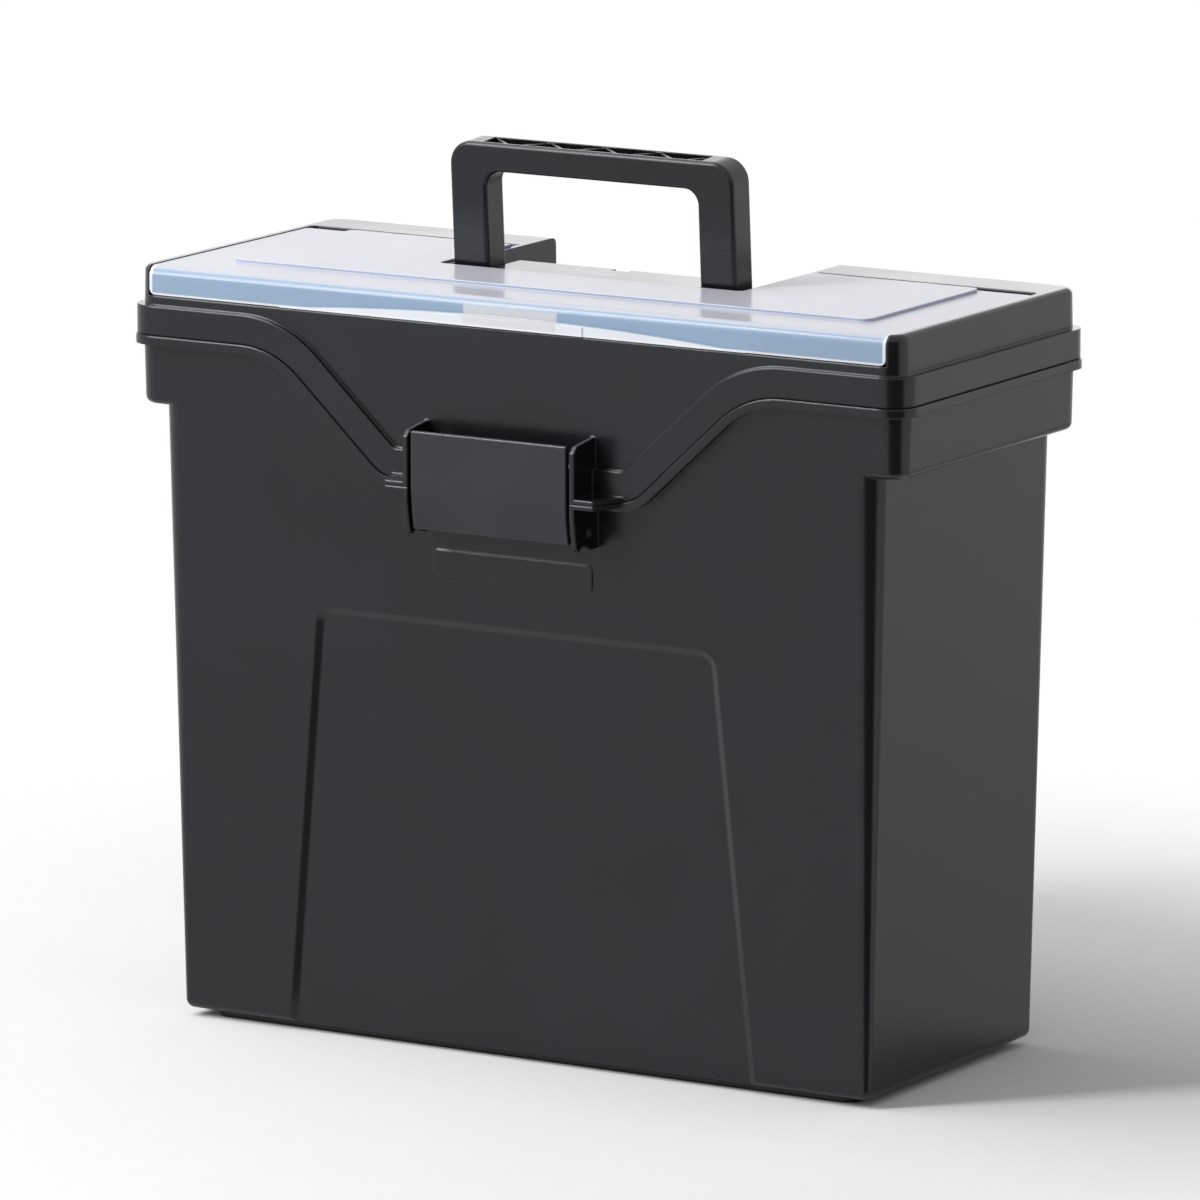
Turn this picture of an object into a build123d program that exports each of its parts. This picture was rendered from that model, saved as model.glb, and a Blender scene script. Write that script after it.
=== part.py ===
"""Portable file box: a tapered bin, a hinged lid with an organizer tray, its see-through
cover, a folding carry handle and a front latch.

Millimetres, +Z up. X runs across the width, +Y goes to the back, and z = 0 is the underside
of the foot that the box stands on.
"""

import os
from math import acos, atan2, cos, degrees, radians, sin, tan

from build123d import *

os.makedirs("parts", exist_ok=True)

# ---- Driving dimensions -------------------------------------------------------------------
# Box
RIM_WIDTH = 340.0          # over the rim lip, the widest line of the box
RIM_DEPTH = 144.0
BIN_HEIGHT = 265.5         # foot to the parting line
WALL = 2.6                 # wall thickness of the bin and the lid
DRAFT = 1.25               # moulding draft of the outer walls, degrees
CORNER_R = 8.0             # upright corners

# Bin
LIP_HEIGHT = 3.5
LIP_SIDE = 2.8             # how far the lip stands out at the ends
LIP_FRONT = 3.4            # and at the front and back
COLLAR_HEIGHT = 27.0       # parting line down to the underside of the end ledges
LEDGE = 10.0               # width of an end ledge
LEDGE_ROUND = 3.0
FOOT_HEIGHT = 3.0
FOOT_INSET = 6.0           # foot inside the bottom edge of the walls, front and back
FOOT_END_INSET = 9.0
BOTTOM_ROUND = 3.5
PANEL_DROP = 98.0          # parting line down to the sunk front panel, which widens downwards
PANEL_TOP_HALF = 87.5
PANEL_LOW_HALF = 103.0
PANEL_LOW_Z = 5.0
PANEL_SUNK = 1.5
PANEL_SLANT = 3.0           # width of the slanting sides round the panel
PANEL_R = 8.0
PAD_HALF = 34.8            # shallow raised bar under the latch
PAD_HEIGHT = 10.0
PAD_BELOW_LATCH = 10.2
PAD_PROUD = 0.5

# Front dip, where the lid reaches down over the front of the bin
DIP_TOP_X = 103.2          # where the slope would meet the level parting line
DIP_DROP = 45.0
DIP_SLOPE = 42.8           # degrees
DIP_TOP_R = 38.0
DIP_LOW_R = 16.0

# Lid
LID_HEIGHT = 26.8          # parting line to the top
BAND_HEIGHT = 11.5
BAND_IN_SIDE = 0.6         # band inside the rim lip, at the ends
BAND_IN_FRONT = 0.5
BAND_STEP_SIDE = 3.1       # step from the band in to the upper part of the lid
BAND_STEP_FRONT = 2.1
LID_ROUND = 2.6
END_WALL = 5.3             # solid ends beside the tray
SEAT_DROP = 11.6           # lid top down to the front wall under the cover's front flap
DECK_DEPTH = 22.8          # deck behind the tray
DIVIDER_DROP = 6.3         # lid top down to the tray's dividers
WELL_DEEP = 13.3           # well that the handle folds into
WELL_MARGIN = 3.5          # in front of the handle
WELL_SIDE = 1.8            # beside the handle
LEG_SIDE = 0.5             # between a leg and the block between the legs
BLOCK_DEPTH = 25.5
BLOCK_NOTCH_HALF = 3.5
BLOCK_NOTCH_DEEP = 3.0

# Cover of the organizer tray
COVER_SUNK = 0.3           # border below the lid's deck
PLATEAU_RISE = 1.2         # raised middle of the cover above its border
PLATEAU_HALF = 139.6
PLATEAU_SET_BACK = 24.9    # its front behind the cover's front
PLATEAU_R = 4.0
COVER_WALL = 2.0
COVER_SET_BACK = 0.5       # front flap behind the lid's front face
COVER_SIDE_FLAP = 7.0
COVER_FOLD_R = 4.0
COVER_BACK_R = 2.0
COVER_CORNER_R = 2.5       # lower corners of the front flap
COVER_NOTCH_IN = 0.4       # notch edge in front of the handle's well
COVER_NOTCH_R = 3.0
PULL_HALF = 32.0           # finger tab in the middle of the front flap
PULL_HEIGHT = 3.6
PULL_PROUD = 1.2
CURVE_HALF = 102.0         # long curved lip that the tab stands on
CURVE_HEIGHT = 4.6
CURVE_PROUD = 0.8

# Handle
HANDLE_HALF = 62.2
HANDLE_LEG = 15.7          # leg width
HANDLE_FRONT = 6.5         # pivot line to the front face
HANDLE_BACK = 6.9          # pivot line to the back face
HANDLE_RISE = 54.1         # pivot line to the top of the grip
GRIP_HEIGHT = 11.0
HANDLE_LEAN = 3.8          # degrees forward of upright
HANDLE_OUTER_R = 9.0
HANDLE_INNER_R = 6.0
HANDLE_END_ROUND = 6.0
HANDLE_EDGE_ROUND = 1.6
GRIP_WELL_END = 14.2       # open channel in the grip, short of the handle's outer face
GRIP_WELL_DEEP = 7.5
GRIP_RIM = 2.2
GRIP_RIB = 1.6             # zig-zag ribs in the channel
GRIP_RIB_PAIRS = 4
PIVOT_Y = -2.0
PIVOT_DROP = 5.3           # lid top down to the pivot line
PIVOT_PIN_R = 2.5
PIVOT_BOSS_R = 3.9
PIVOT_BOSS = 4.6           # boss beyond the well's side wall

# Latch
LATCH_HALF = 33.8
LATCH_RISE = 21.5          # plate above the bottom of the dip
LATCH_FALL = 15.8          # plate below it
LATCH_BEND = 1.5           # start of the inward bend above it
LATCH_OUT = 12.6           # face in front of the rim
LATCH_BOW = 1.9            # how far the plate's lower edge curves in
LATCH_WALL = 2.2
LATCH_PIN_OUT = 1.7
LATCH_PIN_FALL = 12.3
LATCH_PIN_R = 1.5
LATCH_EAR_R = 3.6
LATCH_EAR = 2.6
LATCH_EAR_IN = 3.2         # outer ears inside the plate's edges
LATCH_INNER_EAR_X = 11.0
CHEEK_WALL = 2.0
FLANGE_WALL = 1.7
FLANGE_FRONT = 8.1         # flange beyond the cheek, at its front edge
FLANGE_BACK = 13.6
CATCH_HALF = 12.0
CATCH_LEDGE_OUT = 4.6      # the lid's ledge in front of the rim
CATCH_LEDGE_RISE = 3.5
CATCH_LEDGE_WALL = 2.4
CATCH_BEAD_OUT = 6.0       # the latch's bead in front of the rim
CATCH_BEAD_RISE = 7.1

# Lid hinges
HINGE_OUT = 5.0            # pin line behind the rim
HINGE_SPREAD = 0.56        # distance between the hinges as a share of the rim width
HINGE_HALF = 14.0
HINGE_MID_HALF = 7.0
HINGE_KNUCKLE_R = 4.2
HINGE_PIN_R = 2.0

# Cover hinges
COVER_HINGE_HALF = 12.0
COVER_HINGE_MID_HALF = 5.6
COVER_KNUCKLE_R = 2.0
COVER_PIN_R = 1.0

# ---- Named clearances ---------------------------------------------------------------------
SEAT_GAP = 0.3             # a piece above the piece that carries it
SIDE_GAP = 0.3             # a moving piece beside its neighbour
KNUCKLE_GAP = 0.4          # between hinge knuckles, along and round the pin
CHEEK_GAP = 1.6            # latch plate to a cheek
PIN_HOLD = 0.02            # radial, pin in the piece that holds it
PIN_RUN = 0.06             # radial, pin in the piece that turns on it

# ---- Sizes that follow --------------------------------------------------------------------
parting_z = BIN_HEIGHT
lid_z = parting_z + SEAT_GAP
lid_top_z = parting_z + LID_HEIGHT
lid_step_z = parting_z + BAND_HEIGHT

collar_z = parting_z - COLLAR_HEIGHT
collar_width = RIM_WIDTH - 2 * LIP_SIDE
collar_depth = RIM_DEPTH - 2 * LIP_FRONT
body_top_z = collar_z + LEDGE_ROUND + 0.2
body_top_inset = (parting_z - body_top_z) * tan(radians(DRAFT))
body_width = collar_width - 2 * body_top_inset - 2 * LEDGE
body_depth = collar_depth - 2 * body_top_inset
body_height = body_top_z - FOOT_HEIGHT
bottom_inset = body_height * tan(radians(DRAFT))
bottom_width = body_width - 2 * bottom_inset
bottom_depth = body_depth - 2 * bottom_inset
foot_width = bottom_width - 2 * FOOT_END_INSET
foot_depth = bottom_depth - 2 * FOOT_INSET
panel_top_z = parting_z - PANEL_DROP
panel_spread = (PANEL_LOW_HALF - PANEL_TOP_HALF) / (panel_top_z - PANEL_LOW_Z)
panel_end_half = PANEL_LOW_HALF + 2 * PANEL_LOW_Z * panel_spread

band_width = RIM_WIDTH - 2 * BAND_IN_SIDE
band_depth = RIM_DEPTH - 2 * BAND_IN_FRONT
upper_width = band_width - 2 * BAND_STEP_SIDE
upper_depth = band_depth - 2 * BAND_STEP_FRONT
apron_front = upper_depth / 2
apron_back = apron_front - WALL
dip_z = parting_z - DIP_DROP
dip_low_x = DIP_TOP_X - DIP_DROP / tan(radians(DIP_SLOPE))
seat_z = lid_top_z - SEAT_DROP
tray_half = upper_width / 2 - END_WALL
tray_floor_z = lid_z + WALL
tray_back_y = apron_front - DECK_DEPTH
divider_top_z = lid_top_z - DIVIDER_DROP

leg_inner = HANDLE_HALF - HANDLE_LEG
pivot_z = lid_top_z - PIVOT_DROP
well_half = HANDLE_HALF + WELL_SIDE
well_wall_x = well_half + WALL
well_front_y = PIVOT_Y - HANDLE_FRONT - WELL_MARGIN
well_floor_z = lid_top_z - WELL_DEEP
block_half = leg_inner - LEG_SIDE
block_back_y = well_front_y + BLOCK_DEPTH
boss_end = well_wall_x + PIVOT_BOSS
pivot_pin_inner = block_half - WALL + PIN_HOLD
pivot_pin_outer = boss_end - WALL / 2
grip_well_half = HANDLE_HALF - GRIP_WELL_END

cover_top_z = lid_top_z - COVER_SUNK
plateau_z = cover_top_z + PLATEAU_RISE
cover_under_z = cover_top_z - COVER_WALL
cover_low_z = seat_z + SEAT_GAP
cover_flap_z = cover_top_z - COVER_SIDE_FLAP
cover_half = tray_half - SIDE_GAP
cover_front_y = -(apron_front - COVER_SET_BACK)
cover_notch_y = well_front_y - COVER_NOTCH_IN
cover_notch_half = well_wall_x + SIDE_GAP
plateau_front_y = cover_front_y + PLATEAU_SET_BACK
cover_hinge_y = tray_back_y - COVER_KNUCKLE_R - KNUCKLE_GAP
cover_hinge_z = cover_top_z - COVER_KNUCKLE_R
cover_hinge_x = (well_half + tray_half) / 2
cover_back_y = cover_hinge_y - COVER_KNUCKLE_R - KNUCKLE_GAP
plateau_back_y = cover_back_y - PLATEAU_RISE

latch_top_z = dip_z + LATCH_RISE
latch_low_z = dip_z - LATCH_FALL
latch_bend_z = dip_z + LATCH_BEND
latch_front_y = -(RIM_DEPTH / 2 + LATCH_OUT)
latch_back_y = latch_front_y + LATCH_WALL
latch_low_y = latch_front_y + LATCH_BOW
latch_pin_y = -(RIM_DEPTH / 2 + LATCH_PIN_OUT)
latch_pin_z = dip_z - LATCH_PIN_FALL
bend_height = latch_bend_z - latch_low_z
bend_r = (bend_height ** 2 + LATCH_BOW ** 2) / (2 * LATCH_BOW)
bend_turn = degrees(acos(1 - LATCH_BOW / bend_r))
latch_ear_x = LATCH_HALF - LATCH_EAR_IN + LATCH_EAR / 2
cheek_x = LATCH_HALF + CHEEK_GAP
flange_front_x = cheek_x + CHEEK_WALL + FLANGE_FRONT
flange_back_x = cheek_x + CHEEK_WALL + FLANGE_BACK
ledge_y = -(RIM_DEPTH / 2 + CATCH_LEDGE_OUT)
ledge_z = dip_z + CATCH_LEDGE_RISE
bead_y = -(RIM_DEPTH / 2 + CATCH_BEAD_OUT)
bead_z = dip_z + CATCH_BEAD_RISE
pad_z = latch_low_z - PAD_BELOW_LATCH - PAD_HEIGHT

hinge_x = RIM_WIDTH * HINGE_SPREAD / 2
hinge_y = RIM_DEPTH / 2 + HINGE_OUT
hinge_z = parting_z + SEAT_GAP / 2


def outer_y(z):
    """Distance from the middle to the front face of the bin at height z."""
    return collar_depth / 2 - (parting_z - z) * tan(radians(DRAFT))


def dip_corners(rise):
    """Corner points of the dip line, moved up square to itself by rise."""
    shift = rise * tan(radians(DIP_SLOPE / 2))
    top_x, low_x = DIP_TOP_X - shift, dip_low_x - shift
    end_x = DIP_TOP_X + DIP_TOP_R
    top, low = parting_z + rise, dip_z + rise
    return [(-end_x, top), (-top_x, top), (-low_x, low), (low_x, low), (top_x, top), (end_x, top)]


def dip_radii(rise):
    """Corner radii of the dip line that keep the strips beside it the same width."""
    return [DIP_TOP_R + rise, DIP_LOW_R - rise, DIP_LOW_R - rise, DIP_TOP_R + rise]


def front_plane(distance):
    """Upright plane that faces the front, at y = -distance."""
    return Plane.XZ.offset(distance)


# Tool that sinks the front panel square to the sloping wall, with slanting sides, open at the bottom
wall_out = (0, -cos(radians(DRAFT)), -sin(radians(DRAFT)))
front_wall = Plane(origin=(0, -outer_y(0), 0), x_dir=(1, 0, 0), z_dir=wall_out)
with BuildPart() as panel_space:
    with BuildSketch(front_wall):
        with BuildLine():
            Polyline((-panel_end_half, -PANEL_LOW_Z), (-PANEL_TOP_HALF, panel_top_z),
                     (PANEL_TOP_HALF, panel_top_z), (panel_end_half, -PANEL_LOW_Z), close=True)
        panel_face = make_face()
        fillet(panel_face.vertices().group_by(Axis.Y)[-1], PANEL_R)
    extrude(amount=-PANEL_SUNK, taper=degrees(atan2(PANEL_SLANT, PANEL_SUNK)))

# Collar that the rim stands on, wider than the walls below it by the end ledges
with BuildPart() as collar:
    with BuildSketch(Plane.XY.offset(parting_z)):
        RectangleRounded(collar_width, collar_depth, CORNER_R)
    extrude(amount=-COLLAR_HEIGHT, taper=DRAFT)
    fillet(collar.faces().sort_by(Axis.Z)[0].edges(), LEDGE_ROUND)

# ---- Bin ----------------------------------------------------------------------------------
with BuildPart() as file_bin:
    # walls below the end ledges
    with BuildSketch(Plane.XY.offset(body_top_z)):
        RectangleRounded(body_width, body_depth, CORNER_R)
    extrude(amount=-body_height, taper=DRAFT)
    fillet(file_bin.faces().sort_by(Axis.Z)[0].edges(), BOTTOM_ROUND)
    add(panel_space.part, mode=Mode.SUBTRACT)

    # foot
    with BuildSketch():
        RectangleRounded(foot_width, foot_depth, CORNER_R)
    extrude(amount=FOOT_HEIGHT + WALL)

    add(collar.part)

    # rim lip, level round the ends and the back and along the dip at the front
    with BuildSketch(Plane.XY.offset(parting_z - LIP_HEIGHT)):
        RectangleRounded(RIM_WIDTH, RIM_DEPTH, CORNER_R + LIP_SIDE)
    extrude(amount=LIP_HEIGHT)
    with BuildSketch(front_plane(RIM_DEPTH / 2)):
        with BuildLine():
            over = FilletPolyline(*dip_corners(0), radius=dip_radii(0))
            under = FilletPolyline(*dip_corners(-LIP_HEIGHT), radius=dip_radii(-LIP_HEIGHT))
            Line(over @ 0, under @ 0)
            Line(over @ 1, under @ 1)
        make_face()
    extrude(amount=-(RIM_DEPTH / 2 - outer_y(dip_z) + WALL / 2))

    # shallow bar under the latch
    with BuildSketch(front_plane(outer_y(pad_z) + PAD_PROUD)):
        with Locations((0, pad_z + PAD_HEIGHT / 2)):
            RectangleRounded(2 * PAD_HALF, PAD_HEIGHT, 2)
    extrude(amount=-(WALL / 2 + PAD_PROUD))

    # lower latch cheeks, on both sides of the latch
    for side in (-1, 1):
        with BuildSketch(Plane.YZ.offset(side * (cheek_x + CHEEK_WALL / 2))):
            with BuildLine():
                Polyline((-outer_y(dip_z) + 1, dip_z), (latch_front_y, dip_z),
                         (latch_front_y, latch_bend_z - 7), (latch_low_y, latch_low_z - 1.2),
                         (latch_low_y + 1.6, latch_low_z - 2.4), (latch_pin_y - 3.4, latch_low_z - 0.4),
                         (latch_pin_y + 1.4, latch_low_z - 2.9), (-outer_y(dip_z) + 1, latch_low_z - 2.9),
                         close=True)
            make_face()
        extrude(amount=CHEEK_WALL / 2, both=True)

    # flange under the parting line, outside the cheeks
    with BuildSketch(Plane.XY.offset(dip_z - FLANGE_WALL)):
        for side in (-1, 1):
            with BuildLine():
                Polyline((side * (cheek_x + 0.5), latch_front_y), (side * flange_front_x, latch_front_y),
                         (side * flange_back_x, -RIM_DEPTH / 2 + 1),
                         (side * flange_back_x, -outer_y(dip_z) + 1),
                         (side * (cheek_x + 0.5), -outer_y(dip_z) + 1), close=True)
            make_face()
    extrude(amount=FLANGE_WALL)

    # hinge leaves and knuckles at the back
    for x in (-hinge_x, hinge_x):
        for end in (-1, 1):
            middle = x + end * (HINGE_HALF + HINGE_MID_HALF + KNUCKLE_GAP) / 2
            length = HINGE_HALF - HINGE_MID_HALF - KNUCKLE_GAP
            with BuildSketch(Plane.YZ.offset(middle)):
                with Locations((hinge_y, hinge_z)):
                    Circle(HINGE_KNUCKLE_R)
                with BuildLine():
                    Polyline((collar_depth / 2 - 1, parting_z), (hinge_y, parting_z),
                             (hinge_y, hinge_z - HINGE_KNUCKLE_R),
                             (collar_depth / 2 - 1, hinge_z - 2.4 * HINGE_KNUCKLE_R),
                             close=True)
                make_face()
            extrude(amount=length / 2, both=True)

    # inside, down to the floor and into the foot
    with BuildSketch(Plane.XY.offset(parting_z)):
        RectangleRounded(collar_width - 2 * WALL, collar_depth - 2 * WALL, CORNER_R - WALL)
    extrude(amount=-(COLLAR_HEIGHT - WALL), taper=DRAFT, mode=Mode.SUBTRACT)
    with BuildSketch(Plane.XY.offset(body_top_z)):
        RectangleRounded(body_width - 2 * WALL, body_depth - 2 * WALL, CORNER_R - WALL)
    extrude(amount=-(body_height - WALL), taper=DRAFT, mode=Mode.SUBTRACT)
    with BuildSketch(Plane.XY.offset(FOOT_HEIGHT + WALL)):
        RectangleRounded(foot_width - 2 * WALL, foot_depth - 2 * WALL, CORNER_R - WALL)
    extrude(amount=-FOOT_HEIGHT, mode=Mode.SUBTRACT)

    # front wall cut down to the dip
    with BuildSketch(front_plane(RIM_DEPTH / 2 + 1)):
        with BuildLine():
            edge = FilletPolyline(*dip_corners(0), radius=dip_radii(0))
            Polyline(edge @ 0, edge @ 0 + (0, 5), edge @ 1 + (0, 5), edge @ 1)
        make_face()
    extrude(amount=-(RIM_DEPTH / 2 + 1 - outer_y(dip_z) + 2 * WALL), mode=Mode.SUBTRACT)

    # bores for the hinge pins and the latch pin
    for x in (-hinge_x, hinge_x):
        with Locations(Plane.YZ.offset(x)):
            with Locations((hinge_y, hinge_z)):
                Cylinder(HINGE_PIN_R + PIN_HOLD, 2 * HINGE_HALF + 2, mode=Mode.SUBTRACT)
    with Locations(Plane.YZ):
        with Locations((latch_pin_y, latch_pin_z)):
            Cylinder(LATCH_PIN_R + PIN_HOLD, 2 * (cheek_x + CHEEK_WALL) + 2, mode=Mode.SUBTRACT)
file_bin.part.label = "bin"

# ---- Lid ----------------------------------------------------------------------------------
with BuildPart() as lid:
    # band and upper part
    with BuildSketch(Plane.XY.offset(lid_step_z)):
        RectangleRounded(upper_width, upper_depth, CORNER_R)
    extrude(amount=lid_top_z - lid_step_z, taper=DRAFT)
    fillet(lid.faces().sort_by(Axis.Z)[-1].edges(), LID_ROUND)
    with BuildSketch(Plane.XY.offset(lid_z)):
        RectangleRounded(band_width, band_depth, CORNER_R + BAND_STEP_FRONT)
    extrude(amount=lid_step_z - lid_z)

    # the band leaves the front face above the dip
    with BuildSketch(front_plane(band_depth / 2 + 1)):
        with BuildLine():
            edge = FilletPolyline(*dip_corners(BAND_HEIGHT), radius=dip_radii(BAND_HEIGHT))
            Polyline(edge @ 0, edge @ 0 + (0, 3), edge @ 1 + (0, 3), edge @ 1)
        make_face()
    extrude(amount=-(band_depth / 2 + 1 - apron_front), mode=Mode.SUBTRACT)

    # apron that fills the dip, and the band along its lower edge
    with BuildSketch(front_plane(apron_front)):
        with BuildLine():
            edge = FilletPolyline(*dip_corners(SEAT_GAP), radius=dip_radii(SEAT_GAP))
            Polyline(edge @ 0, edge @ 0 + (0, 4), edge @ 1 + (0, 4), edge @ 1)
        make_face()
    extrude(amount=-WALL)
    with BuildSketch(front_plane(band_depth / 2)):
        with BuildLine():
            under = FilletPolyline(*dip_corners(SEAT_GAP), radius=dip_radii(SEAT_GAP))
            over = FilletPolyline(*dip_corners(BAND_HEIGHT), radius=dip_radii(BAND_HEIGHT))
            Line(over @ 0, under @ 0)
            Line(over @ 1, under @ 1)
        make_face()
    extrude(amount=-(band_depth / 2 - apron_back))

    # organizer tray, open at the top, and the low front wall under the cover's flap
    with BuildSketch(Plane.XY.offset(tray_floor_z)):
        tray_depth = tray_back_y + apron_back
        with Locations((0, tray_back_y - tray_depth / 2)):
            RectangleRounded(2 * tray_half, tray_depth, 3)
        block_depth = tray_back_y - (well_front_y - WALL)
        with Locations((0, tray_back_y - block_depth / 2)):
            Rectangle(2 * well_wall_x, block_depth, mode=Mode.SUBTRACT)
    extrude(amount=lid_top_z - tray_floor_z, mode=Mode.SUBTRACT)
    with Locations((0, -apron_back, seat_z)):
        Box(2 * tray_half, 4 * WALL, lid_top_z - seat_z + 1, align=(Align.CENTER, Align.CENTER, Align.MIN),
            mode=Mode.SUBTRACT)
    for side in (-1, 1):
        with Locations((side * (well_half + WALL / 2), (well_front_y - apron_back) / 2, tray_floor_z)):
            Box(WALL, apron_back + well_front_y, divider_top_z - tray_floor_z,
                align=(Align.CENTER, Align.CENTER, Align.MIN))

    # bosses in the tray for the handle's pivot pins
    with BuildSketch(Plane.YZ.offset(-boss_end)):
        with Locations((PIVOT_Y, pivot_z)):
            Circle(PIVOT_BOSS_R)
    extrude(amount=2 * boss_end)

    # well for the handle, open at the back, with a block between the handle's legs
    with BuildSketch(Plane.XY.offset(well_floor_z)):
        with Locations((0, well_front_y)):
            Rectangle(2 * well_half, band_depth, align=(Align.CENTER, Align.MIN))
            Rectangle(2 * block_half, block_back_y - well_front_y, align=(Align.CENTER, Align.MIN),
                      mode=Mode.SUBTRACT)
    extrude(amount=lid_top_z - well_floor_z + 1, mode=Mode.SUBTRACT)
    with Locations((0, block_back_y, lid_top_z)):
        Box(2 * BLOCK_NOTCH_HALF, 2 * BLOCK_NOTCH_DEEP, 8, mode=Mode.SUBTRACT)

    # the well's front wall stops below the cover's bridge, and its side walls behind the notch's corners
    with Locations((0, well_front_y, cover_under_z - SEAT_GAP)):
        Box(2 * well_wall_x + 1, WALL + 1, lid_top_z - cover_under_z + 1,
            align=(Align.CENTER, Align.MAX, Align.MIN), mode=Mode.SUBTRACT)
    for side in (-1, 1):
        with Locations((side * (well_half + WALL / 2), well_front_y, cover_under_z - SEAT_GAP)):
            Box(WALL + 1, 2 * COVER_NOTCH_R, lid_top_z - cover_under_z + 1,
                align=(Align.CENTER, Align.CENTER, Align.MIN), mode=Mode.SUBTRACT)

    # hollows open to the bin: under the well, in the block and in the deck behind the tray
    with BuildSketch(Plane.XY.offset(lid_z)):
        with Locations((0, well_front_y)):
            Rectangle(2 * well_half, upper_depth / 2 - well_front_y - WALL, align=(Align.CENTER, Align.MIN))
    extrude(amount=well_floor_z - WALL - lid_z, mode=Mode.SUBTRACT)
    with BuildSketch(Plane.XY.offset(lid_z)):
        with Locations((0, well_front_y + WALL)):
            Rectangle(2 * (block_half - WALL), block_back_y - well_front_y - 2 * WALL - BLOCK_NOTCH_DEEP,
                      align=(Align.CENTER, Align.MIN))
    extrude(amount=lid_top_z - WALL - lid_z, mode=Mode.SUBTRACT)
    with BuildSketch(Plane.XY.offset(lid_z)):
        for side in (-1, 1):
            with Locations((side * (well_wall_x + WALL + tray_half) / 2, tray_back_y + WALL)):
                Rectangle(tray_half - well_wall_x - WALL, upper_depth / 2 - tray_back_y - 2 * WALL,
                          align=(Align.CENTER, Align.MIN))
    extrude(amount=lid_top_z - WALL - lid_z, mode=Mode.SUBTRACT)

    # upper latch cheeks
    for side in (-1, 1):
        with BuildSketch(Plane.YZ.offset(side * (cheek_x + CHEEK_WALL / 2))):
            with BuildLine():
                Polyline((-apron_back - 1, dip_z + SEAT_GAP), (latch_front_y, dip_z + SEAT_GAP),
                         (latch_front_y, latch_top_z - 2.2), (latch_front_y + 2.2, latch_top_z),
                         (-apron_back - 1, latch_top_z + 2), close=True)
            make_face()
        extrude(amount=CHEEK_WALL / 2, both=True)

    # flange above the parting line, and the ledge that the latch holds down
    with BuildSketch(Plane.XY.offset(dip_z + SEAT_GAP)):
        for side in (-1, 1):
            with BuildLine():
                Polyline((side * (cheek_x + 0.5), latch_front_y), (side * flange_front_x, latch_front_y),
                         (side * flange_back_x, -RIM_DEPTH / 2 + 1),
                         (side * flange_back_x, -apron_back - 1),
                         (side * (cheek_x + 0.5), -apron_back - 1), close=True)
            make_face()
    extrude(amount=FLANGE_WALL)
    with BuildSketch(Plane.YZ):
        with BuildLine():
            Polyline((-apron_back - 1, ledge_z), (ledge_y, ledge_z),
                     (ledge_y, ledge_z + 1), (-band_depth / 2, ledge_z + CATCH_LEDGE_WALL),
                     (-apron_back - 1, ledge_z + CATCH_LEDGE_WALL), close=True)
        make_face()
    extrude(amount=CATCH_HALF, both=True)

    # hinge leaves and knuckles at the back
    for x in (-hinge_x, hinge_x):
        with BuildSketch(Plane.YZ.offset(x)):
            with Locations((hinge_y, hinge_z)):
                Circle(HINGE_KNUCKLE_R)
            with BuildLine():
                Polyline((band_depth / 2 - WALL, lid_z), (hinge_y, lid_z),
                         (hinge_y, hinge_z + HINGE_KNUCKLE_R),
                         (band_depth / 2 - WALL, hinge_z + 1.8 * HINGE_KNUCKLE_R), close=True)
            make_face()
        extrude(amount=HINGE_MID_HALF, both=True)

    # knuckles for the cover, at the edge of the deck behind the tray
    for x in (-cover_hinge_x, cover_hinge_x):
        for end in (-1, 1):
            middle = x + end * (COVER_HINGE_HALF + COVER_HINGE_MID_HALF + KNUCKLE_GAP) / 2
            length = COVER_HINGE_HALF - COVER_HINGE_MID_HALF - KNUCKLE_GAP
            with BuildSketch(Plane.YZ.offset(middle)):
                with Locations((cover_hinge_y, cover_hinge_z)):
                    Circle(COVER_KNUCKLE_R)
                with Locations((cover_hinge_y, cover_hinge_z - COVER_KNUCKLE_R)):
                    Rectangle(tray_back_y - cover_hinge_y + 1, 2 * COVER_KNUCKLE_R,
                              align=(Align.MIN, Align.MIN))
            extrude(amount=length / 2, both=True)

    # bores for the lid hinge pins, the cover hinge pins and the handle's pivot pins
    for x in (-hinge_x, hinge_x):
        with Locations(Plane.YZ.offset(x)):
            with Locations((hinge_y, hinge_z)):
                Cylinder(HINGE_PIN_R + PIN_RUN, 2 * HINGE_HALF, mode=Mode.SUBTRACT)
    for x in (-cover_hinge_x, cover_hinge_x):
        with Locations(Plane.YZ.offset(x)):
            with Locations((cover_hinge_y, cover_hinge_z)):
                Cylinder(COVER_PIN_R + PIN_HOLD, 2 * COVER_HINGE_HALF + 2, mode=Mode.SUBTRACT)
    with Locations(Plane.YZ):
        with Locations((PIVOT_Y, pivot_z)):
            Cylinder(PIVOT_PIN_R + PIN_HOLD, 2 * (pivot_pin_outer + PIN_HOLD), mode=Mode.SUBTRACT)
lid.part.label = "lid"

# ---- Cover --------------------------------------------------------------------------------
with BuildPart() as cover_space:
    with Locations((0, cover_front_y + COVER_WALL, cover_low_z - 1)):
        Box(2 * (cover_half - COVER_WALL), cover_back_y - cover_front_y, cover_under_z - cover_low_z + 1,
            align=(Align.CENTER, Align.MIN, Align.MIN))
    fillet(cover_space.edges().filter_by(Axis.X).group_by(Axis.Z)[-1].sort_by(Axis.Y)[0],
           COVER_FOLD_R - COVER_WALL)
    with Locations((0, plateau_front_y + COVER_WALL, cover_under_z - 1)):
        Box(2 * (PLATEAU_HALF - COVER_WALL), plateau_back_y - plateau_front_y - 2 * COVER_WALL,
            PLATEAU_RISE + 1, align=(Align.CENTER, Align.MIN, Align.MIN))

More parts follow.
